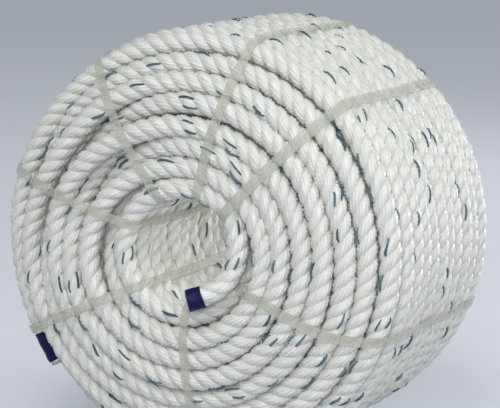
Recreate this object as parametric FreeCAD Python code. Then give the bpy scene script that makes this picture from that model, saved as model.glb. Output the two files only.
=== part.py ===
# Coil of laid mooring rope, strapped for sale or stowage. Millimetres, +Z up.
# The coil rests on its side. Its axis runs along Y, and its front face looks along -Y.
# The origin is on the surface that it rests on, under the axis and midway between the two faces.
# Clock angles are read looking at the front face: 0 is +X and 90 is +Z.
import FreeCAD, Part
import math
import os

from FreeCAD import Vector

# ---- driving dimensions ----------------------------------------------------------------
ROPE_D = 12.0          # rope diameter
BORE_R = 29.5          # radius of the hollow middle
COIL_R = 120.0         # outer radius of the coil
COIL_W = 186.0         # width of the coil, face to face
LAYERS = 8             # layers of turns, from the bore outwards
TURN_PITCH = 12.6      # from one turn to the next along a layer
SAG = 1.5              # how much the coil's own weight flattens it where it rests

# How far each layer's end turn stands back from the face, from the innermost layer outwards.
FRONT_SETBACK = [1.5, 0.0, 0.0, 1.0, 5.0, 10.0, 17.0, 27.0]
REAR_SETBACK = [2.5, 1.0, 0.0, 1.0, 4.0, 8.5, 16.0, 25.5]

OUTER_STRAP_CLOCK = 208.5  # the strap that holds the outer rope end down
STRAP_CLOCKS = [-22.5, 42.5, 73.0, 117.5, 159.0, OUTER_STRAP_CLOCK, 274.0]
STRAP_W = 6.0          # width of the flat strap
STRAP_T = 0.6          # thickness of the strap
STRAP_BITE = 0.2       # how far a tight strap presses into the rope
LAP_INNER_R = 62.0     # the strap's welded lap on the rear face starts at this radius
LAP_LENGTH = 16.0

TAPE_T = 0.35          # thickness of the wound tape
INNER_TAPE_LENGTH = 8.5
OUTER_TAPE_LENGTH = 17.5
INNER_CUT_LENGTH = 0.4  # bare rope past the tape on the inner end
OUTER_CUT_LENGTH = 2.5  # bare rope past the tape on the outer end

# Route of the inner rope end, from its free end to the coil: clock angle, radius past the
# middle of the innermost layer, and depth behind the front face.
INNER_END_ROUTE = [
    (-70.0, -10.6, -6.5),
    (-53.0, -8.6, -3.0),
    (-35.0, -6.0, 0.5),
    (-16.0, -3.6, 3.5),
    (3.0, -1.8, 5.5),
    (22.0, -0.8, 6.8),
]
# Route of the outer rope end, from its free end to the coil: clock angle past the strap that
# holds it, radius past the middle of the outermost layer, and depth behind the front face.
OUTER_END_ROUTE = [
    (11.8, 5.8, 30.4),
    (5.0, 2.9, 30.6),
    (-2.5, 1.2, 31.0),
    (-11.0, 0.8, 31.4),
    (-20.0, 0.6, 31.8),
]

# ---- sizes that follow -----------------------------------------------------------------
ROPE_R = ROPE_D / 2
AXIS_Z = COIL_R - SAG
AXIS = Vector(0, 0, AXIS_Z)
LAYER_RADII = [
    BORE_R + ROPE_R + k * (COIL_R - BORE_R - ROPE_D) / (LAYERS - 1) for k in range(LAYERS)
]
STRAP_PROUD = STRAP_T - STRAP_BITE


def placed(route, clock, radius):
    """A route as (clock angle, radius, y), from steps past a clock angle and a radius."""
    return [
        (clock + turn, radius + out, behind - COIL_W / 2) for turn, out, behind in route
    ]


INNER_END = placed(INNER_END_ROUTE, 0.0, LAYER_RADII[0])
OUTER_END = placed(OUTER_END_ROUTE, OUTER_STRAP_CLOCK, LAYER_RADII[-1])


def at_clock(clock, radius, y):
    angle = math.radians(clock)
    return Vector(radius * math.cos(angle), y, AXIS_Z + radius * math.sin(angle))


# ---- outline of the coil's section, in the plane of radius and y ------------------------
def end_turns(outermost_radius, turns_missing=0):
    """Middles of the end turns of every layer, on both faces, as (radius, y).

    turns_missing is how many turns of the innermost layer have left it at the front face.
    """
    radii = LAYER_RADII[:-1] + [outermost_radius]
    face = COIL_W / 2 - ROPE_R
    first_back = FRONT_SETBACK[0] + turns_missing * TURN_PITCH
    front = [(r, back - face) for r, back in zip(radii, [first_back] + FRONT_SETBACK[1:])]
    rear = [(r, face - back) for r, back in zip(radii, REAR_SETBACK)]
    return front + rear


def convex_hull(points):
    """Corners of the tightest closed outline round the points, anticlockwise."""
    def half(ordered):
        chain = []
        for point in ordered:
            while len(chain) > 1:
                (ax, ay), (bx, by) = chain[-2], chain[-1]
                if (bx - ax) * (point[1] - ay) - (by - ay) * (point[0] - ax) > 1e-9:
                    break
                chain.pop()
            chain.append(point)
        return chain[:-1]

    ordered = sorted(set(points))
    return half(ordered) + half(ordered[::-1])


def belt_round(middles, radius):
    """Wire that runs tight round circles of one radius: a line per gap, an arc per circle."""
    corners = [Vector(r, y, 0) for r, y in convex_hull(middles)]
    count = len(corners)
    normals = []
    for i in range(count):
        along = corners[(i + 1) % count] - corners[i]
        normals.append(Vector(along.y, -along.x, 0).normalize())
    edges = []
    for i in range(count):
        before = normals[i - 1]
        after = normals[i]
        middle = (before + after).normalize()
        start = corners[i] + before * radius
        stop = corners[i] + after * radius
        edges.append(Part.Arc(start, corners[i] + middle * radius, stop).toShape())
        edges.append(Part.LineSegment(stop, corners[(i + 1) % count] + after * radius).toShape())
    return Part.Wire(edges)


# ---- the coil ---------------------------------------------------------------------------
def coil_envelope():
    section = Part.Face(belt_round(end_turns(LAYER_RADII[-1]), ROPE_R))
    ring = section.revolve(Vector(0, 0, 0), Vector(0, 1, 0), 360)
    ring.translate(AXIS)
    under = Part.makeBox(4 * COIL_R, 2 * COIL_W, COIL_R, Vector(-2 * COIL_R, -COIL_W, -COIL_R))
    return ring.cut(under)


# ---- straps -------------------------------------------------------------------------------
def strap_reach(clock):
    """Radius of the strap's outer face: proud of the rope, but flush where the coil rests."""
    rise = math.sin(math.radians(clock))
    proud = COIL_R + STRAP_PROUD
    if rise >= 0:
        return proud
    floor = (AXIS_Z - STRAP_W / 2 * abs(math.cos(math.radians(clock)))) / -rise
    return min(proud, floor)


def crossing(route, clock):
    """Where a rope end crosses a strap, as a list of no or one (radius, y)."""
    found = []
    for (from_clock, from_r, from_y), (to_clock, to_r, to_y) in zip(route, route[1:]):
        share = (clock - from_clock) / (to_clock - from_clock)
        if 0 <= share < 1:
            found.append((from_r + share * (to_r - from_r), from_y + share * (to_y - from_y)))
    return found


def strap_loop(clock):
    """Closed flat loop round the coil's section, with its welded lap on the rear face.

    A strap passes over the outer rope end and under the inner one, which has left the bore's wall.
    """
    under_inner_end = len(crossing(INNER_END, clock))
    middles = end_turns(strap_reach(clock) - STRAP_PROUD - ROPE_R, under_inner_end)
    middles += crossing(OUTER_END, clock)
    inside = belt_round(middles, ROPE_R - STRAP_BITE)
    outside = belt_round(middles, ROPE_R + STRAP_PROUD)
    lap_top = belt_round(middles, ROPE_R + STRAP_PROUD + STRAP_T)
    band = Part.Face(outside).cut(Part.Face(inside))
    window = Part.makePlane(LAP_LENGTH, COIL_W, Vector(LAP_INNER_R, 0, 0))
    lap = Part.Face(lap_top).cut(Part.Face(outside)).common(window)
    section = band.fuse(lap).removeSplitter()
    loop = section.extrude(Vector(0, 0, STRAP_W)).removeSplitter()
    loop.translate(Vector(0, 0, -STRAP_W / 2))
    loop.rotate(Vector(0, 0, 0), Vector(0, 1, 0), -clock)
    loop.translate(AXIS)
    return loop.Solids[0]


# ---- rope ends ----------------------------------------------------------------------------
def smooth_path(name, points):
    """Straight runs joined by tangent arcs, each arc as large as its two runs allow."""
    edges = []
    start = points[0]
    radii = []
    for before, corner, after in zip(points, points[1:], points[2:]):
        inward = (before - corner).normalize()
        outward = (after - corner).normalize()
        half_turn = (math.pi - inward.getAngle(outward)) / 2
        setback = 0.45 * min((before - corner).Length, (after - corner).Length)
        radius = setback / math.tan(half_turn)
        radii.append(round(radius, 1))
        first = corner + inward * setback
        last = corner + outward * setback
        bisector = (inward + outward).normalize()
        centre = corner + bisector * (radius / math.cos(half_turn))
        crown = centre - bisector * radius
        edges.append(Part.LineSegment(start, first).toShape())
        edges.append(Part.Arc(first, crown, last).toShape())
        start = last
    edges.append(Part.LineSegment(start, points[-1]).toShape())
    print(name, "arc radii", radii)
    return edges


def stretch(edges, start, length):
    """A length of a path, from start millimetres along it, as a new list of edges."""
    kept = []
    travelled = 0.0
    for edge in edges:
        low = max(start - travelled, 0.0)
        high = min(start + length - travelled, edge.Length)
        travelled += edge.Length
        if high - low < 1e-6:
            continue
        first = edge.getParameterByLength(low)
        last = edge.getParameterByLength(high)
        kept.append(edge.Curve.toShape(first, last))
    return kept


def tube(edges, radius):
    start = edges[0].Vertexes[0].Point
    along = edges[0].tangentAt(edges[0].FirstParameter)
    ring = Part.Wire(Part.Circle(start, along, radius).toShape())
    return Part.Wire(edges).makePipeShell([ring], True, False)


def rope_end(name, route, cut_length, tape_length):
    """A rope tail and the tape wound round it, both cut at right angles to the rope."""
    points = [at_clock(*place) for place in route]
    path = smooth_path(name, points)
    length = sum(edge.Length for edge in path)
    rope = tube(path, ROPE_R)
    print(name, "length", round(length, 1), "volume ratio",
          round(rope.Volume / (math.pi * ROPE_R ** 2 * length), 4))
    taped = stretch(path, cut_length, tape_length)
    tape = tube(taped, ROPE_R + TAPE_T).cut(rope)
    return rope, tape


# ---- put together and write ----------------------------------------------------------------
inner_rope, inner_tape = rope_end(
    "rope_inner_end", INNER_END, INNER_CUT_LENGTH, INNER_TAPE_LENGTH
)
outer_rope, outer_tape = rope_end(
    "rope_outer_end", OUTER_END, OUTER_CUT_LENGTH, OUTER_TAPE_LENGTH
)
parts = {
    "rope_inner_end": inner_rope,
    "rope_outer_end": outer_rope,
    "inner_end_tape": inner_tape,
    "outer_end_tape": outer_tape,
}
for number, clock in enumerate(STRAP_CLOCKS, start=1):
    parts["strap_%d" % number] = strap_loop(clock).cut(outer_rope)

# The soft rope of the coil is pressed in by all that lies on it.
parts["rope_coil"] = coil_envelope().cut(list(parts.values()))

os.makedirs("parts", exist_ok=True)
for name, shape in parts.items():
    print(name, "solids", len(shape.Solids), "valid", shape.isValid(), "volume", round(shape.Volume))
    shape.exportStep("parts/%s.step" % name)
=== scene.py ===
import math
import random

import bpy
import numpy as np
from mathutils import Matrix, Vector


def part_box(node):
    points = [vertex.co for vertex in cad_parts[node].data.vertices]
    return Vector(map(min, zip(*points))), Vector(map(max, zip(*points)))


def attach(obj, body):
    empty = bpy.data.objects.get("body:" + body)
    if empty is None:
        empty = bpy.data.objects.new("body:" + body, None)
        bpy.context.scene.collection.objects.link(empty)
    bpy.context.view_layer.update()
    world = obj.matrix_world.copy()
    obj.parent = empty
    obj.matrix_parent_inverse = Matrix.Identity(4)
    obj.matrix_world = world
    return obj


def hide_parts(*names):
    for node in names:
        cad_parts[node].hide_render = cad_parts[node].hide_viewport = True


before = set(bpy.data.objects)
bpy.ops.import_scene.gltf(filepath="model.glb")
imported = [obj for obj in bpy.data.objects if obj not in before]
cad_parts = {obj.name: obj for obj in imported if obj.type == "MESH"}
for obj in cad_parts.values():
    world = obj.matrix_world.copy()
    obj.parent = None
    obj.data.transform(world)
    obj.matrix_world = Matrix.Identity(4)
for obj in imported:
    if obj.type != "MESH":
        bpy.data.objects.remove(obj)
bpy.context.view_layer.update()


# ---- the coil's place and the view ----------------------------------------------------------
# The coil rests on its side, so that its axis lies level along Y and its front face looks
# along -Y. It is seen from the right of that face and from a little above the floor.
coil_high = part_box("rope_coil")[1]
COIL_R = coil_high[0]
AXIS_Z = coil_high[2] - COIL_R
HALF_WIDTH = coil_high[1]
COIL_MIDDLE = (0, 0, AXIS_Z)

VIEW_AZIMUTH = math.radians(24.6)
VIEW_ELEVATION = math.radians(8.3)
VIEW_DISTANCE = 1.396
VIEW_RISE = 0.015  # how far above the coil's axis the camera aims
VIEW_LENS = 176.4

towards_camera = Vector((
    math.sin(VIEW_AZIMUTH) * math.cos(VIEW_ELEVATION),
    -math.cos(VIEW_AZIMUTH) * math.cos(VIEW_ELEVATION),
    math.sin(VIEW_ELEVATION),
))
facing = (-towards_camera).to_track_quat("-Z", "Y")
aim = Vector(COIL_MIDDLE) + facing @ Vector((0, VIEW_RISE, 0))
camera_data = bpy.data.cameras.new("camera")
camera_data.lens = VIEW_LENS
camera_data.sensor_width = 36
camera = bpy.data.objects.new("camera", camera_data)
camera.location = aim + towards_camera * VIEW_DISTANCE
camera.rotation_euler = facing.to_euler()
bpy.context.scene.collection.objects.link(camera)
bpy.context.scene.camera = camera


# ---- the way the rope is wound --------------------------------------------------------------
# One rope is wound on a bare spindle in eight layers, to and fro between two flanges, and the
# spindle is then drawn out. Every turn lies flat in its place and crosses over to the next
# place on a short slant, and at the end of a layer it climbs onto the layer below it.
ROPE_D = 0.012
ROPE_R = ROPE_D / 2
BORE_R = 0.0295
TURNS = [14, 15, 15, 15, 14, 13, 12, 11]  # turns in each layer, from the bore outwards
LAYERS = len(TURNS)
LAYER_RADII = [
    BORE_R + ROPE_R + k * (COIL_R - BORE_R - ROPE_D) / (LAYERS - 1) for k in range(LAYERS)
]
# How far each layer's end turn stands back from the face: both faces are domed.
FRONT_SETBACK = [0.0015, 0.0, 0.0, 0.001, 0.0042, 0.0083, 0.0137, 0.0212]
REAR_SETBACK = [0.0025, 0.001, 0.0, 0.001, 0.004, 0.0085, 0.016, 0.0255]
# An outer layer's end turn also sinks a little between the turns below it.
FRONT_SINK = [0, 0, 0, 0, 0, 0.0003, 0.0010, 0.0022]
# Clock angles at which the rope climbs into each layer, and at which it leaves the last one.
CLIMB_CLOCKS = [-96, 120, 150, 100, 140, 195, 165, 215, 227]
CROSSING_RUN = 0.085       # length of rope on which a turn crosses over to its next place
CROSSING_MOST = 0.3        # the most of a turn that a crossover may take up
SECOND_TURN_WAITS = 1 / 3  # of a turn: it fills the rim where the first turn has left it
COILED_FROM = 36           # clock angle at which the first turn takes over from the inner end
COILED_SHORT = 48          # degrees before the last clock angle at which the outer end begins
POINTS_PER_TURN = 36
UNDERSIDE = -0.5           # a turn can touch the floor where its clock's sine is below this
# Slow waves in which the rope strays from its places, outwards and then along the coil: how
# far, how many waves in a turn, and the angle at which each starts.
WANDER_OUT = [(0.00045, 2.37, 0), (0.00045, 0.61, 1)]
WANDER_ALONG = [(0.0009, 1.31, 2), (0.00063, 2.83, 0)]

# The rope's two free ends: clock angle, radius past the middle of the innermost or outermost
# layer, and depth behind the front face.
INNER_END_ROUTE = [
    (-70.0, -0.0106, -0.0065),
    (-53.0, -0.0086, -0.0030),
    (-35.0, -0.0060, 0.0005),
    (-16.0, -0.0036, 0.0035),
    (3.0, -0.0018, 0.0055),
    (22.0, -0.0008, 0.0068),
]
OUTER_END_ROUTE = [
    (218.9, 0.0016, 0.0324),
    (212.5, 0.0003, 0.0314),
    (205.5, -0.0006, 0.0304),
    (197.5, -0.0012, 0.0294),
    (188.5, -0.0016, 0.0285),
]


def at_clock(clock, radius, y):
    """A point by its clock angle, read looking at the front face: 0 is +X and 90 is +Z."""
    angle = math.radians(clock)
    return (radius * math.cos(angle), y, AXIS_Z + radius * math.sin(angle))


climbs = [CLIMB_CLOCKS[0] / 360]
for turns, clock in zip(TURNS, CLIMB_CLOCKS[1:]):
    climbs.append(clock / 360 + round(climbs[-1] + turns - clock / 360))

places = []     # radius and y of every turn, in the order in which the rope is wound
crossings = []  # when the rope leaves each place, in turns, and the part of a turn it takes
for k, turns in enumerate(TURNS):
    front = FRONT_SETBACK[k] + ROPE_R - HALF_WIDTH
    rear = HALF_WIDTH - ROPE_R - REAR_SETBACK[k]
    to_rear = k % 2 == 0
    first, last = (front, rear) if to_rear else (rear, front)
    width = min(CROSSING_MOST, CROSSING_RUN / (2 * math.pi * LAYER_RADII[k]))
    early = climbs[k] + 1 - width / 2
    if k == 0:
        early += SECOND_TURN_WAITS
    late = climbs[k + 1] - 1 + width / 2
    for j in range(turns):
        at_front = j == (0 if to_rear else turns - 1)
        sunk = FRONT_SINK[k] if at_front else 0
        places.append((LAYER_RADII[k] - sunk, first + (last - first) * j / (turns - 1)))
        when = early + (late - early) * j / (turns - 2) if j < turns - 1 else climbs[k + 1]
        crossings.append((when, width))


def strayed(turn, waves):
    """How far the rope strays in some waves, at each number of turns."""
    sway = 2 * math.pi * turn
    return sum(far * np.sin(often * sway + start) for far, often, start in waves)


def wound(turn):
    """Radius and y of the rope's middle, at each number of turns past clock angle 0."""
    place = np.array(places[0])[None].repeat(len(turn), 0)
    for before, after, (when, width) in zip(places, places[1:], crossings):
        share = np.clip((turn - when) / width + 0.5, 0, 1)
        share = share * share * (3 - 2 * share)
        place = place + share[:, None] * (np.array(after) - np.array(before))
    place[:, 0] += strayed(turn, WANDER_OUT)
    place[:, 1] += strayed(turn, WANDER_ALONG)
    return place


coiled = np.arange(COILED_FROM / 360, climbs[-1] - COILED_SHORT / 360, 1 / POINTS_PER_TURN)
radius_y = wound(coiled)
# The coil flattens under its own weight where it rests.
rise = np.sin(2 * math.pi * coiled)
resting = (AXIS_Z - ROPE_R) / -np.minimum(rise, UNDERSIDE)
radius_y[:, 0] = np.minimum(radius_y[:, 0], np.where(rise < UNDERSIDE, resting, np.inf))
# A smooth line drawn by the corners of a many-sided ring runs at this part of their radius.
inside = (3 + math.cos(2 * math.pi / POINTS_PER_TURN)) / 4

route_points = [
    at_clock(clock, LAYER_RADII[0] + out, depth - HALF_WIDTH)
    for clock, out, depth in INNER_END_ROUTE
]
route_points += [
    at_clock(360 * turn, radius / inside, y) for turn, (radius, y) in zip(coiled, radius_y)
]
route_points += [
    at_clock(clock, LAYER_RADII[-1] + out, depth - HALF_WIDTH)
    for clock, out, depth in OUTER_END_ROUTE[::-1]
]

route = bpy.data.curves.new("rope_route", "CURVE")
route.dimensions = "3D"
spline = route.splines.new("NURBS")
spline.points.add(len(route_points) - 1)
for knot, point in zip(spline.points, route_points):
    knot.co = (*point, 1)
spline.order_u = 3
spline.use_endpoint_u = True
spline.resolution_u = 8
route_line = bpy.data.meshes.new_from_object(bpy.data.objects.new("rope_route", route))
route_middle = np.array([vertex.co for vertex in route_line.vertices])


# ---- the rope's three strands ---------------------------------------------------------------
# Three strands of bright white nylon yarn are laid together right-handed into a 12 mm rope.
# Each strand is twisted the other way, so the yarns on its crown run along the rope.
STRANDS = 3
LAY_LENGTH = 0.0248    # length of rope in which a strand goes once round it
RINGS_PER_LAY = 12
RING_STEP = LAY_LENGTH / RINGS_PER_LAY
LAY_DRIFT = 0.35       # angle by which a strand runs ahead or behind where the lay is uneven
LAY_DRIFT_RUN = 0.11   # length of that wave along the rope, over 2 pi
CROWN_MIDDLE = 0.0018  # from the rope's middle to the middle of a strand's round outside
CROWN_R = 0.0047       # radius of that outside: laid soft, so a little fuller than 12 mm
INNER_POINT = 0.0003   # from the rope's middle to a strand's innermost point
SWELL = 0.02           # the part by which a strand swells and thins
SWELL_RUN = 0.017      # length of that wave along the rope, over 2 pi
SWELL_SHIFT = 2.1      # angle of that wave from one strand to the next
TAPED_LENGTH = 0.021   # the tape squeezes the strands on this length of each end,
TAPE_SQUEEZE = 0.08    # by this part, which fades out on as much length again
# Corners of a strand's kidney-shaped section: round outside, and a point near the middle.
CROWN_CLOCKS = np.radians([-100, -78, -40, 0, 40, 78, 100])
SECTION_OUT = np.append(CROWN_MIDDLE + CROWN_R * np.cos(CROWN_CLOCKS), INNER_POINT)
SECTION_SIDE = np.append(CROWN_R * np.sin(CROWN_CLOCKS), 0.0)
# Each corner's place round the strand, 1 being once round, and the first corner's again.
SECTION_ROUND = np.array([-0.255, -0.2, -0.1, 0, 0.1, 0.2, 0.255, 0.5, 0.745])
# The second map, OFBake, lays a layer's strands out in rows, with a margin to each row and to
# the map.
MAP_ROWS = 42
ROW_MARGIN = 0.05
MAP_MARGIN = 0.001

step = np.linalg.norm(np.diff(route_middle, axis=0), axis=1)
route_along = np.concatenate([[0], np.cumsum(step)])
rope_along = np.arange(0, route_along[-1], RING_STEP)
rope_middle = np.stack(
    [np.interp(rope_along, route_along, route_middle[:, axis]) for axis in range(3)], 1
)
ROPE_LENGTH = route_along[-1]


def unit(vectors):
    """The same directions, each of length 1."""
    return vectors / np.linalg.norm(vectors, axis=-1, keepdims=True)


# At each ring of the rope: along it, away from the coil's axis, and across both.
forwards = unit(np.gradient(rope_middle, axis=0))
outwards = rope_middle - COIL_MIDDLE
outwards[:, 1] = 0
outwards = unit(outwards - (outwards * forwards).sum(1, keepdims=True) * forwards)
across = np.cross(forwards, outwards)
rope_clock = np.arctan2(rope_middle[:, 2] - AXIS_Z, rope_middle[:, 0])
rope_turn = np.unwrap(rope_clock) / (2 * math.pi)
# The lay is a little tighter in some stretches than in others.
lay_angle = 2 * math.pi * rope_along / LAY_LENGTH
lay_angle = lay_angle + LAY_DRIFT * np.sin(rope_along / LAY_DRIFT_RUN)


def spoke(rings, angle):
    """Unit vectors at an angle round the rope, 0 being away from the coil's axis."""
    turned = np.asarray(angle)[..., None]
    return np.cos(turned) * outwards[rings] + np.sin(turned) * across[rings]


def crown_angle(rings, strand):
    """The angle round the rope at which a strand's crown lies."""
    return lay_angle[rings] + 2 * math.pi * strand / STRANDS


def strand_rings(rings, strand):
    """Outline points of one strand at each of some rings of the rope."""
    angle = crown_angle(rings, strand)
    from_end = np.minimum(rope_along[rings], ROPE_LENGTH - rope_along[rings])
    plump = 1 + SWELL * np.sin(rope_along[rings] / SWELL_RUN + SWELL_SHIFT * strand)
    plump -= TAPE_SQUEEZE * np.clip(2 - from_end / TAPED_LENGTH, 0, 1)
    out = plump[:, None] * spoke(rings, angle)
    side = spoke(rings, angle + math.pi / 2)
    corners = [
        rope_middle[rings] + height * out + spread * side
        for height, spread in zip(SECTION_OUT, SECTION_SIDE)
    ]
    found = np.stack(corners, 1)
    found[..., 2] = np.maximum(found[..., 2], 0)  # pressed flat on the floor
    return found


def skin(name, tubes, around, along, rows=0):
    """A piece over tubes, which are arrays of rings of points.

    around holds each corner's place round the ring, from 0 to 1, with one more to close it,
    and along each ring's distance. They are its map "lay". With rows, a second map, "OFBake",
    lays every tube out in that many rows.
    """
    sides = tubes[0].shape[1]
    corner = np.arange(sides)
    after = (corner + 1) % sides
    quads, lay, rolled = [], [], []
    start = 0
    row = 0
    for tube in tubes:
        count = len(tube) - 1
        ring = np.arange(count)[:, None]
        near = start + ring * sides
        far = near + sides
        quads.append(np.stack([near + corner, near + after, far + after, far + corner], -1))
        low = np.broadcast_to(around[:-1], (count, sides))
        high = np.broadcast_to(around[1:], (count, sides))
        here = np.broadcast_to(along[:count, None], (count, sides))
        there = np.broadcast_to(along[1:count + 1, None], (count, sides))
        u = np.stack([low, high, high, low], -1)
        lay.append(np.stack([u, np.stack([here, here, there, there], -1)], -1))
        if rows:
            per_row = math.ceil(count * len(tubes) / rows)
            place = np.broadcast_to(ring % per_row, (count, sides))
            line = np.broadcast_to(row + ring // per_row, (count, sides))
            x = np.stack([place, place, place + 1, place + 1], -1) / per_row
            y = (line[..., None] + ROW_MARGIN + (1 - 2 * ROW_MARGIN) * u) / (rows + len(tubes))
            rolled.append(np.stack([MAP_MARGIN + (1 - 2 * MAP_MARGIN) * x, y], -1))
            row += math.ceil(count / per_row)
        start += len(tube) * sides
    points = np.concatenate([tube.reshape(-1, 3) for tube in tubes])
    faces = np.concatenate([quad.reshape(-1, 4) for quad in quads])
    mesh = bpy.data.meshes.new(name)
    mesh.vertices.add(len(points))
    mesh.vertices.foreach_set("co", points.ravel())
    mesh.loops.add(faces.size)
    mesh.loops.foreach_set("vertex_index", faces.ravel())
    mesh.polygons.add(len(faces))
    mesh.polygons.foreach_set("loop_start", np.arange(0, faces.size, 4))
    for title, layout in (("lay", lay), ("OFBake", rolled)):
        if layout:
            flat = np.concatenate([part.reshape(-1, 2) for part in layout]).ravel()
            mesh.uv_layers.new(name=title).data.foreach_set("uv", flat)
    mesh.update(calc_edges=True)
    mesh.validate()
    mesh.shade_smooth()
    piece = bpy.data.objects.new(name, mesh)
    bpy.context.scene.collection.objects.link(piece)
    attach(piece, "root")
    return piece


class Wire:
    """A socket among a finish's nodes. Sums on wires add the Math nodes that they need."""

    def __init__(self, finish, socket):
        self.finish = finish
        self.socket = socket

    def maths(self, operation, *values):
        return self.finish.node("Math", {"operation": operation}, dict(enumerate(values)))

    def __add__(self, other):
        return self.maths("ADD", self, other)

    def __sub__(self, other):
        return self.maths("SUBTRACT", self, other)

    def __rsub__(self, other):
        return self.maths("SUBTRACT", other, self)

    def __mul__(self, other):
        return self.maths("MULTIPLY", self, other)

    def __pow__(self, other):
        return self.maths("POWER", self, other)

    __radd__ = __add__
    __rmul__ = __mul__

    def wave(self):
        """From 0 to 1 and back, once for each whole number."""
        return self.maths("SINE", self * (2 * math.pi)) * 0.5 + 0.5


class Finish:
    """A material and its nodes."""

    def __init__(self, name):
        self.material = bpy.data.materials.new(name)
        self.material.use_nodes = True
        self.tree = self.material.node_tree
        self.tree.nodes.clear()

    def node(self, kind, settings=None, sockets=None, output=0):
        """Adds a node with its settings, then its sockets' values or wires."""
        made = self.tree.nodes.new("ShaderNode" + kind)
        for name, value in (settings or {}).items():
            setattr(made, name, value)
        for name, value in (sockets or {}).items():
            if isinstance(value, Wire):
                self.tree.links.new(value.socket, made.inputs[name])
            else:
                made.inputs[name].default_value = value
        return Wire(self, made.outputs[output] if made.outputs else None)

    def split(self, vector):
        """The three numbers of a vector, as wires."""
        parts = self.node("SeparateXYZ", None, {0: vector}).socket.node
        return [Wire(self, part) for part in parts.outputs]

    def mixed(self, share, first, second):
        """Two colours mixed, from all the first at 0 to all the second at 1."""
        first, second = ((*c, 1) if isinstance(c, tuple) else c for c in (first, second))
        return self.node("Mix", {"data_type": "RGBA"}, {0: share, 6: first, 7: second}, 2)

    def surface(self, sockets):
        """Ends the finish in a Principled surface."""
        shader = self.node("BsdfPrincipled", None, sockets)
        self.node("OutputMaterial", None, {"Surface": shader})
        return self.material


YARNS = 14         # yarns that show round one strand
YARN_TURNS = 42.0  # turns that a yarn makes round its strand in one metre of rope
YARN_SHINE = 70.0  # how many times a yarn's painted shine changes in one metre
NYLON_WHITE = (0.93, 0.94, 0.93)
NYLON_CREAM = (0.86, 0.87, 0.82)
# A yarn's painted shade, where it catches no light.
NYLON_UNLIT_YARN = (0.64, 0.64, 0.59)
NYLON_STRAND_SHADE = (0.72, 0.73, 0.67)  # painted shade between the strands
NYLON_YARN_SHADE = (0.60, 0.61, 0.56)  # painted shade between the yarns


def rope_finish():
    """Bright nylon in fine yarns, a little greyer between the strands and between the yarns
    with painted shade, and with painted highlights and shade on single yarns.
    """
    nylon = Finish("rope_nylon")
    around, along, _ = nylon.split(nylon.node("UVMap", {"uv_map": "lay"}))
    # Yarns run along the rope where they show, so they turn back round their own strand.
    yarn = (around + along * YARN_TURNS) * YARNS
    furrow = yarn.wave() ** 0.6
    # No two yarns catch the light alike, so each is painted in streaks of highlight and shade.
    spot = nylon.node("CombineXYZ", None, {0: yarn, 1: along * YARN_SHINE})
    glint_streak = nylon.node("TexNoise", None, {"Vector": spot, "Scale": 1.0, "Detail": 1.0})
    place = nylon.node("TexCoord", None, None, "Object")
    cloud = nylon.node("TexNoise", None, {"Vector": place, "Scale": 28.0, "Detail": 3.0})
    fibre = nylon.node("TexNoise", None, {"Vector": place, "Scale": 900.0, "Detail": 2.0})
    # Painted shade: each strand keeps its full colour on its crown and greys towards the
    # strands beside it.
    crown = ((around + 0.25).wave() * 3.6 - 2.6) ** 1.1
    colour = nylon.mixed(cloud, NYLON_CREAM, NYLON_WHITE)
    # Painted highlights and shade along the yarns.
    colour = nylon.mixed(glint_streak * 2.0 - 0.5, NYLON_UNLIT_YARN, colour)
    colour = nylon.mixed(crown, NYLON_STRAND_SHADE, colour)
    # Painted shade in the furrows between the yarns.
    colour = nylon.mixed(furrow * 0.4 + 0.6, NYLON_YARN_SHADE, colour)
    height = furrow * 0.9 + fibre * 0.3 + glint_streak * 1.2
    bump = nylon.node("Bump", None, {"Strength": 0.8, "Distance": 0.0003, "Height": height})
    return nylon.surface({
        "Base Color": colour,
        "Roughness": cloud * 0.12 + 0.28,
        "Normal": bump,
        "Specular IOR Level": 0.6,
        "Sheen Weight": 0.3,
        "Sheen Roughness": 0.45,
    })


rope_nylon = rope_finish()
layer_slices = []
for k in range(LAYERS):
    first = 0 if k == 0 else np.searchsorted(rope_turn, climbs[k])
    last = len(rope_turn) if k == LAYERS - 1 else np.searchsorted(rope_turn, climbs[k + 1]) + 1
    layer_slices.append(slice(first, last))
rope_layers = []
for k, rings in enumerate(layer_slices):
    tubes = [strand_rings(rings, strand) for strand in range(STRANDS)]
    layer = skin("rope_layer_%d" % (k + 1), tubes, SECTION_ROUND, rope_along[rings], MAP_ROWS)
    layer.data.materials.append(rope_nylon)
    rope_layers.append(layer)
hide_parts("rope_coil", "rope_inner_end")
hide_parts("rope_outer_end")


# ---- the tracer yarn ------------------------------------------------------------------------
# One thin blue yarn is laid in with the white ones and comes to the surface every two or
# three centimetres, where it crosses a strand's crown along the rope and dives in again.
TRACER_D = 0.0016
TRACER_SIDES = 6
TRACER_LENGTHS = (0.008, 0.012)
TRACER_GAPS = (0.015, 0.031)
TRACER_SLANTS = (0.0, 0.28)  # half the angle round the rope through which a dash slants
TRACER_PAIRED = 0.45         # how often a second dash lies beside one
TRACER_BESIDE = 0.4          # and its angle round the rope from the first
TRACER_MARGIN = 16           # rings at each end of a layer that have no dash
TRACER_THINNEST = 0.65       # the least of its full thickness that a dash may have
TRACER_TAPER = 0.5           # the part of its thickness that it loses towards its ends
TRACER_SUNK = 0.03           # how deep its middle lies below the crown, in thicknesses
TRACER_DIVE = 0.5            # how much deeper its ends lie, in thicknesses
PLY_TURNS = 260.0            # turns that its two plies make in one metre
# The plies' painted shade and painted light, and the paler blue where the yarn thins out.
TRACER_PLY_SHADE = (0.012, 0.038, 0.062)
TRACER_LIT = (0.045, 0.12, 0.16)
TRACER_FADED = (0.10, 0.18, 0.22)
chance = random.Random(12)


def crown_height(angle):
    """From the rope's middle to a strand's surface, at an angle from the strand's crown."""
    sunk = (CROWN_MIDDLE * math.sin(angle)) ** 2
    return CROWN_MIDDLE * math.cos(angle) + math.sqrt(CROWN_R ** 2 - sunk)


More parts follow.
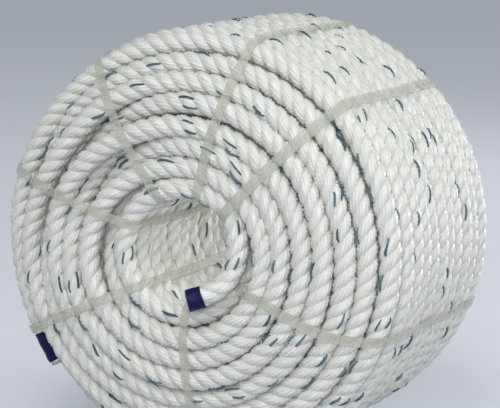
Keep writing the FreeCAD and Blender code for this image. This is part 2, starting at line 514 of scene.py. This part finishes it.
def tracer_dash(ring, strand, angle, slant):
    """One stretch of the tracer yarn on a strand, at a ring and an angle from its crown."""
    half = int(chance.uniform(*TRACER_LENGTHS) / 2 / RING_STEP + 0.5)
    rings = np.arange(ring - half, ring + half + 1)
    share = np.linspace(-1, 1, len(rings))
    turned = crown_angle(ring, strand) + angle + slant * share
    height = np.array([crown_height(a) for a in turned - crown_angle(rings, strand)])
    height -= TRACER_D * (TRACER_SUNK + TRACER_DIVE * np.abs(share) ** 4)
    up = spoke(rings, turned)
    side = np.cross(forwards[rings], up)
    middle = rope_middle[rings] + height[:, None] * up
    thick = chance.uniform(TRACER_THINNEST, 1) * TRACER_D / 2
    reach = thick * (1 - TRACER_TAPER * np.abs(share) ** 3)
    corners = []
    for clock in np.linspace(0, 2 * math.pi, TRACER_SIDES, endpoint=False):
        corners.append(
            middle + reach[:, None] * (math.cos(clock) * up + math.sin(clock) * side)
        )
    found = np.stack(corners, 1)
    found[..., 2] = np.maximum(found[..., 2], 0)
    return found


def tracer_finish():
    """Dull blue yarn, with painted shade between its plies and painted light on them, and paler
    where it thins out.
    """
    blue = Finish("tracer_blue")
    around, along, _ = blue.split(blue.node("UVMap", {"uv_map": "lay"}))
    plies = (around * 2 + along * PLY_TURNS).wave()
    place = blue.node("TexCoord", None, None, "Object")
    fade = blue.node("TexNoise", None, {"Vector": place, "Scale": 75.0, "Detail": 1.0})
    # Painted shade between the plies and painted light on them.
    colour = blue.mixed(plies, TRACER_PLY_SHADE, TRACER_LIT)
    colour = blue.mixed(fade * 3.0 - 1.1, colour, TRACER_FADED)
    bump = blue.node("Bump", None, {"Strength": 0.4, "Distance": 0.0001, "Height": plies})
    return blue.surface({"Base Color": colour, "Roughness": 0.5, "Normal": bump})


tracer_blue = tracer_finish()
tracers = []
for k, rings in enumerate(layer_slices):
    dashes = []
    ring = rings.start + TRACER_MARGIN
    while ring < rings.stop - TRACER_MARGIN:
        strand = chance.randrange(STRANDS)
        slant = chance.uniform(*TRACER_SLANTS)
        dashes.append(tracer_dash(ring, strand, 0.0, slant))
        if chance.random() < TRACER_PAIRED:
            beside = chance.choice((-TRACER_BESIDE, TRACER_BESIDE))
            dashes.append(tracer_dash(ring + 1, strand, beside, slant))
        ring += int(chance.uniform(*TRACER_GAPS) / RING_STEP)
    # A dash is shorter than one lay, so the first lay's distances do for every dash's map.
    sides = np.linspace(0, 1, TRACER_SIDES + 1)
    tracer = skin("tracer_yarn_%d" % (k + 1), dashes, sides, rope_along[:RINGS_PER_LAY])
    tracer.data.materials.append(tracer_blue)
    tracers.append(tracer)


# ---- tape round the rope's ends -------------------------------------------------------------
# Each end is wound in slanting laps with glossy navy plastic tape, stretched as it goes on, so
# that it follows the strands a little and they can't open.
TAPE_LAPS = 0.004         # how far the tape moves along the rope in each turn
TAPE_THICKNESS = 0.00013
TAPE_EDGE = 1 / 9         # the part of a lap in which the tape rises over the edge below it
TAPE_LOBES = 0.00009      # how far it rises and falls over the three strands
TAPE_WRINKLE = 0.00004    # and in its stretch wrinkles
WRINKLE_RUNS = (0.0011, 0.0023)  # lengths of those along the rope, over 2 pi
TAPE_SUNK = 0.00002       # how far the first turn is sunk in the squeezed strands
TAPE_SIDES = 60
TAPE_STEP = 0.0005
TAPE_LIPS = (0.90, 0.985)  # its edges turn in to these parts of its reach
TAPE_DARK = (0.003, 0.003, 0.036)
TAPE_LIT = (0.007, 0.006, 0.075)


def tape_height(angle, along, from_strand):
    """From the rope's middle to the tape's outside, with a step at each lap's edge."""
    lobes = TAPE_LOBES * np.cos(STRANDS * from_strand)
    laps = (along / TAPE_LAPS + angle / (2 * math.pi)) % 1
    lap_edge = TAPE_THICKNESS * np.clip(laps / TAPE_EDGE, 0, 1)
    first, second = WRINKLE_RUNS
    wrinkle = np.sin(5 * angle + along / first) * np.sin(along / second + 2 * angle)
    return ROPE_R - TAPE_SUNK + lobes + lap_edge + TAPE_WRINKLE * wrinkle


def tape_rings(start, length):
    """Rings of the tape's outside, from start metres along the rope, and how far each is on."""
    along = np.arange(start, start + length + TAPE_STEP / 2, TAPE_STEP)
    ring = np.clip(along / RING_STEP, 0, len(rope_along) - 1)
    pick = np.arange(len(rope_along))

    def between(values):
        return np.stack([np.interp(ring, pick, values[:, axis]) for axis in range(3)], 1)

    middle = between(rope_middle)
    out = unit(between(outwards))
    side = unit(between(across))
    strand_at = np.interp(ring, pick, lay_angle)
    corners = []
    for angle in np.linspace(0, 2 * math.pi, TAPE_SIDES, endpoint=False):
        reach = tape_height(angle, along - start, angle - strand_at)
        corners.append(
            middle + reach[:, None] * (math.cos(angle) * out + math.sin(angle) * side)
        )
    return np.stack(corners, 1), along - start


def tape_finish():
    """Glossy navy plastic tape with fine stretch marks across it."""
    tape = Finish("tape_navy")
    place = tape.node("TexCoord", None, None, "Object")
    cloud = tape.node("TexNoise", None, {"Vector": place, "Scale": 220.0, "Detail": 3.0})
    bump = tape.node("Bump", None, {"Strength": 0.3, "Distance": 0.00015, "Height": cloud})
    return tape.surface({
        "Base Color": tape.mixed(cloud, TAPE_DARK, TAPE_LIT),
        "Roughness": cloud * 0.2 + 0.3,
        "Normal": bump,
        "Specular IOR Level": 0.15,
    })


tape_navy = tape_finish()


def wound_tape(name, bare, taped, at_far_end):
    """The tape round one rope end, with bare metres of rope left past it."""
    start = ROPE_LENGTH - bare - taped if at_far_end else bare
    outside, along = tape_rings(start, taped)
    lip = outside.mean(1, keepdims=True)
    low, high = (lip + share * (outside - lip) for share in TAPE_LIPS)
    rings = np.concatenate([low[:1], high[:1], outside, high[-1:], low[-1:]])
    along = np.concatenate([[0, 0], along, [taped, taped]])
    tape = skin(name + "_tape_wound", [rings], np.linspace(0, 1, TAPE_SIDES + 1), along)
    tape.data.materials.append(tape_navy)
    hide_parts(name + "_tape")
    return tape


inner_tape = wound_tape("inner_end", bare=0.0004, taped=0.0085, at_far_end=False)
outer_tape = wound_tape("outer_end", bare=0.0025, taped=0.0175, at_far_end=True)


# ---- sealed tips ----------------------------------------------------------------------------
# Each end is cut off past its tape with a hot blade, which melts the yarns of the cut together
# into a hard grey-brown skin, domed a little and creased between the strands.

# Each ring of the skin: its reach as a part of the rope's, and how far it lies behind the cut.
TIP_PROFILE = [
    (1.0, 0.0012), (1.02, 0.0002), (0.97, -0.00015), (0.8, -0.00035), (0.45, -0.0005),
    (0.02, -0.00055),
]
TIP_SHRUNK = 0.0001    # how far the melted skin has drawn in from the rope's outside
CREASE_IN = 0.0007     # how far a crease cuts into its edge
CREASE_DEPTH = 0.0004  # and how deep it lies in its face
TIP_MAP_LENGTH = 0.01
MELTED_DARK = (0.16, 0.14, 0.11)
MELTED_PALE = (0.50, 0.49, 0.43)


def tip_finish():
    """Yarn ends melted together: cloudy grey-brown, with a rough skin."""
    melted = Finish("melted_nylon")
    place = melted.node("TexCoord", None, None, "Object")
    cloud = melted.node("TexNoise", None, {"Vector": place, "Scale": 420.0, "Detail": 4.0})
    bump = melted.node("Bump", None, {"Strength": 0.6, "Distance": 0.0003, "Height": cloud})
    return melted.surface({
        "Base Color": melted.mixed(cloud, MELTED_DARK, MELTED_PALE),
        "Roughness": cloud * 0.3 + 0.3,
        "Normal": bump,
    })


melted_nylon = tip_finish()


def sealed_tip(name, ring, at_far_end):
    """The melted skin over the cut at a ring of the rope."""
    inwards = -forwards[ring] if at_far_end else forwards[ring]
    rings = []
    for share, behind in TIP_PROFILE:
        on_face = share < 1
        corners = []
        for angle in np.linspace(0, 2 * math.pi, TAPE_SIDES, endpoint=False):
            crease = 0.5 - 0.5 * math.cos(STRANDS * (angle - lay_angle[ring]))
            reach = (ROPE_R - TIP_SHRUNK - CREASE_IN * crease) * share
            out = math.cos(angle) * outwards[ring] + math.sin(angle) * across[ring]
            sunk = behind + CREASE_DEPTH * crease * on_face
            corners.append(rope_middle[ring] + reach * out + sunk * inwards)
        rings.append(corners)
    rings = np.array(rings)
    if at_far_end:
        rings = rings[:, ::-1]  # so that its outside faces out of the cut
    sides = np.linspace(0, 1, TAPE_SIDES + 1)
    tip = skin(name, [rings], sides, np.linspace(0, TIP_MAP_LENGTH, len(TIP_PROFILE)))
    tip.data.materials.append(melted_nylon)
    return tip


inner_tip = sealed_tip("inner_end_tip", 0, at_far_end=False)
outer_tip = sealed_tip("outer_end_tip", len(rope_along) - 1, at_far_end=True)


# ---- the rope's length ----------------------------------------------------------------------
# The eight layers are one uncut rope of about 50 m. Each layer is a stretch of it, from where
# the rope climbs into that layer to where it leaves, and only the two taped ends are cut.
ends = {0: [inner_tape, inner_tip], LAYERS - 1: [outer_tape, outer_tip]}
for k, (layer, tracer, rings) in enumerate(zip(rope_layers, tracers, layer_slices)):
    2 * math.pi * LAYER_RADII[k] * (rope_turn[rings][-1] - rope_turn[rings][0])
    "bare" if k == LAYERS - 1 else "object"
    [tracer] + ends.get(k, [])


# ---- straps ---------------------------------------------------------------------------------
# Seven flat straps of milky polypropylene are each passed through the coil's middle, pulled
# tight round it and welded to themselves on the rear face, to hold the turns together.

# Each strap's clock angle, how far it leans sideways from bore to rim, how far it bows
# sideways between them, and its width, as soft straps bunch up differently.
STRAPS = [
    (-22.5, 0.007, -0.0055, 0.0058),
    (42.5, 0.004, 0, 0.0060),
    (73.0, 0.002, 0, 0.0054),
    (117.5, 0.014, 0, 0.0054),
    (159.0, 0.010, 0, 0.0050),
    (211.0, -0.017, 0, 0.0052),
    (274.0, -0.004, 0, 0.0050),
]
STRAP_T = 0.0006
STRAP_HELD_OFF = 0.0004   # the crowns of soft-laid strands hold it this far off a 12 mm rope
STRAP_REACH = 2.0         # it lies on the turns within these degrees of its clock angle
STRAP_SWAY = 0.0005       # it also sways sideways by this, in slow waves
STRAP_SWAY_RUN = 0.021    # length of those through the coil, over 2 pi
STRAP_STEP = 0.002
POINTS_PER_CORNER = 4
LAP_R = (0.062, 0.078)    # the welded lap lies between these radii on the rear face
LAP_FACING = 0.5          # and where the strap faces rearwards by at least this
UNDER_INNER_END = 1       # the strap that passes under the rope's inner end,
INNER_END_LENGTH = 0.06   # which is this long
# The strap's section: across it in widths, and above its inner face in thicknesses.
STRAP_SECTION = [
    (-0.5, 0.25), (-0.46, 0.05), (-0.2, 0.0), (0.2, 0.0), (0.46, 0.05), (0.5, 0.25),
    (0.5, 0.75), (0.46, 0.95), (0.22, 1.04), (0.0, 1.0), (-0.22, 1.04), (-0.46, 0.95),
    (-0.5, 0.75),
]
COIL_AXIS = np.array([0, 1, 0])
DIAMONDS_ROUND = 9      # pressed diamonds once round its section
DIAMONDS_ALONG = 520.0  # and in one metre of its length
STRAP_DULL = (0.50, 0.51, 0.41)
STRAP_PALE = (0.65, 0.65, 0.56)
STRAP_SOLIDITY = 0.32   # the rope shows through it


def tight_outline(points):
    """Corners of the tightest closed outline round the points, anticlockwise."""
    def half(ordered):
        chain = []
        for point in ordered:
            while len(chain) > 1:
                (ax, ay), (bx, by) = chain[-2], chain[-1]
                if (bx - ax) * (point[1] - ay) - (by - ay) * (point[0] - ax) > 1e-12:
                    break
                chain.pop()
            chain.append(point)
        return chain[:-1]

    ordered = sorted(set(map(tuple, points)))
    return half(ordered) + half(ordered[::-1])


def strap_line(clock, skipped):
    """A tight belt round the turns at a clock angle, and how far each of its points is on.

    A point is a radius, y, and the normal's two parts in that plane. The belt leaves out the
    skipped first metres of the rope.
    """
    past_clock = (rope_turn * 360 - clock + 180) % 360 - 180
    x, y, z = rope_middle[(np.abs(past_clock) < STRAP_REACH) & (rope_along > skipped)].T
    middles = np.stack([np.hypot(x, z - AXIS_Z), y], 1)
    corners = np.array(tight_outline(np.round(middles, 6)))
    ahead = np.roll(corners, -1, 0) - corners
    angle = np.unwrap(np.arctan2(-ahead[:, 0], ahead[:, 1]))
    line = []
    for i, corner in enumerate(corners):
        before = angle[i - 1] - (2 * math.pi if i == 0 else 0)
        for turned in np.linspace(before, angle[i], POINTS_PER_CORNER):
            normal = np.array([math.cos(turned), math.sin(turned)])
            line.append(np.concatenate([corner + normal * (ROPE_R + STRAP_HELD_OFF), normal]))
    line = np.array(line + line[:1])
    step = np.linalg.norm(np.diff(line[:, :2], axis=0), axis=1)
    gone = np.concatenate([[0], np.cumsum(step)])
    at = np.linspace(0, gone[-1], round(gone[-1] / STRAP_STEP))
    return np.stack([np.interp(at, gone, line[:, axis]) for axis in range(4)], 1), at


def strap_band(clock, lean, bow, width, line, lift):
    """Rings of the strap's section along its line, lifted off it."""
    angle = math.radians(clock)
    out = np.array([math.cos(angle), 0, math.sin(angle)])
    side = np.array([-math.sin(angle), 0, math.cos(angle)])
    radius, y, outwards_part, rearwards_part = line.T[..., None]
    normal = unit(outwards_part * out + rearwards_part * COIL_AXIS)
    middle = radius * out + y * COIL_AXIS + COIL_MIDDLE
    climb = np.clip((radius - BORE_R) / (COIL_R - BORE_R), 0, 1)
    drift = lean * (radius / COIL_R - 0.5) + bow * np.sin(math.pi * climb ** 2)
    drift += STRAP_SWAY * np.sin(y / STRAP_SWAY_RUN + clock)
    corners = [
        middle + (drift + place * width) * side + (height * STRAP_T + lift) * normal
        for place, height in STRAP_SECTION
    ]
    found = np.stack(corners, 1)
    found[..., 2] = np.maximum(found[..., 2], 0)  # pressed flat on the floor
    return found


def strap_finish():
    """Milky plastic strap with a fine pressed diamond pattern."""
    strap = Finish("strap_milky")
    around, along, _ = strap.split(strap.node("UVMap", {"uv_map": "lay"}))
    place = strap.node("TexCoord", None, None, "Object")
    cloud = strap.node("TexNoise", None, {"Vector": place, "Scale": 60.0, "Detail": 3.0})
    over = around * DIAMONDS_ROUND
    on = along * DIAMONDS_ALONG
    grid = (over + on).wave() * (over - on).wave()
    bump = strap.node("Bump", None, {"Strength": 0.35, "Distance": 0.0001, "Height": grid})
    return strap.surface({
        "Base Color": strap.mixed(cloud, STRAP_DULL, STRAP_PALE),
        "Roughness": cloud * 0.15 + 0.26,
        "Normal": bump,
        "Alpha": STRAP_SOLIDITY,
    })


strap_milky = strap_finish()
strap_round = np.linspace(0, 1, len(STRAP_SECTION) + 1)
for number, (clock, lean, bow, width) in enumerate(STRAPS, 1):
    skipped = INNER_END_LENGTH if number == UNDER_INNER_END else 0.0
    line, gone = strap_line(clock, skipped)
    radius, y, _, rearwards = line.T
    lap = (y > 0) & (rearwards > LAP_FACING) & (radius > LAP_R[0]) & (radius < LAP_R[1])
    bands = [
        strap_band(clock, lean, bow, width, part, lift)
        for part, lift in ((line, 0), (line[lap], STRAP_T))
    ]
    strap = skin("strap_band_%d" % number, bands, strap_round, gone)
    strap.data.materials.append(strap_milky)
    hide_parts("strap_%d" % number)


# ---- floor and light ------------------------------------------------------------------------
# The coil stands on a plain pale studio floor, under soft round lamps at the front, the right,
# above and behind, with one more low behind it that shines through its hollow middle.
FLOOR_R = 14.0
FLOOR_SIDES = 96
FLOOR_COLOUR = (0.68, 0.70, 0.765, 1)
FLOOR_GLOW = (0.08, 0.088, 0.10)  # added where the floor is seen, and it lights nothing
WORLD_COLOUR = (0.86, 0.90, 0.94, 1)
WORLD_STRENGTH = 0.42
floor_mesh = bpy.data.meshes.new("floor")
rim = []
for i in range(FLOOR_SIDES):
    turned = 2 * math.pi * i / FLOOR_SIDES
    rim.append((FLOOR_R * math.cos(turned), FLOOR_R * math.sin(turned), 0))
floor_mesh.from_pydata(rim, [], [tuple(range(FLOOR_SIDES))])
floor = bpy.data.objects.new("floor", floor_mesh)
bpy.context.scene.collection.objects.link(floor)
paper = Finish("floor_paper")
seen = paper.node("LightPath")
glossy = paper.node("LightPath", None, None, "Is Glossy Ray")
glow = paper.mixed(seen + glossy, (0.0, 0.0, 0.0), FLOOR_GLOW)
floor_mesh.materials.append(paper.surface({
    "Base Color": FLOOR_COLOUR,
    "Roughness": 0.9,
    "Specular IOR Level": 0.2,
    "Emission Color": glow,
    "Emission Strength": 1.0,
}))


def add_lamp(name, place, aimed, size, watts, narrow=None, colour=(1.0, 1.0, 1.0)):
    """A round lamp, or a strip where it is narrow one way, shining along a vector."""
    data = bpy.data.lights.new(name, "AREA")
    data.shape = "RECTANGLE" if narrow else "DISK"
    data.size = size
    if narrow:
        data.size_y = narrow
    data.energy = watts
    data.color = colour
    lamp = bpy.data.objects.new(name, data)
    lamp.location = place
    lamp.rotation_euler = aimed.to_track_quat("-Z", "Y").to_euler()
    lamp.visible_camera = False
    bpy.context.scene.collection.objects.link(lamp)


def soft_lamp(name, place, **looks):
    """A round lamp that shines at the middle of the coil."""
    add_lamp(name, place, Vector(COIL_MIDDLE) - Vector(place), **looks)


soft_lamp("front", (0.60, -1.37, 0.50), size=0.5, watts=5.5, colour=(1.0, 0.99, 0.98))
soft_lamp("right", (1.55, -0.1, 1.05), size=0.9, watts=8.0)
soft_lamp("top", (0.2, -1.2, 1.55), size=0.9, watts=12.5)
soft_lamp("back", (-0.6, 1.3, 1.8), size=0.8, watts=2.5)
soft_lamp("through", (0.66, 1.5, 0.34), size=0.5, watts=8.0)
# A small strip lamp lies in the coil's hollow middle and lights its left wall.
in_bore = (0.010, -0.025, AXIS_Z - 0.002)
at_left_wall = Vector((-1, 0, -0.25))
add_lamp("strip", in_bore, at_left_wall, size=0.13, narrow=0.006, watts=0.0155)

# Weak light comes from all round as well.
world = bpy.data.worlds.new("world")
bpy.context.scene.world = world
world.use_nodes = True
background = world.node_tree.nodes["Background"]
background.inputs["Color"].default_value = WORLD_COLOUR
background.inputs["Strength"].default_value = WORLD_STRENGTH

bpy.context.scene.view_settings.view_transform = "Standard"
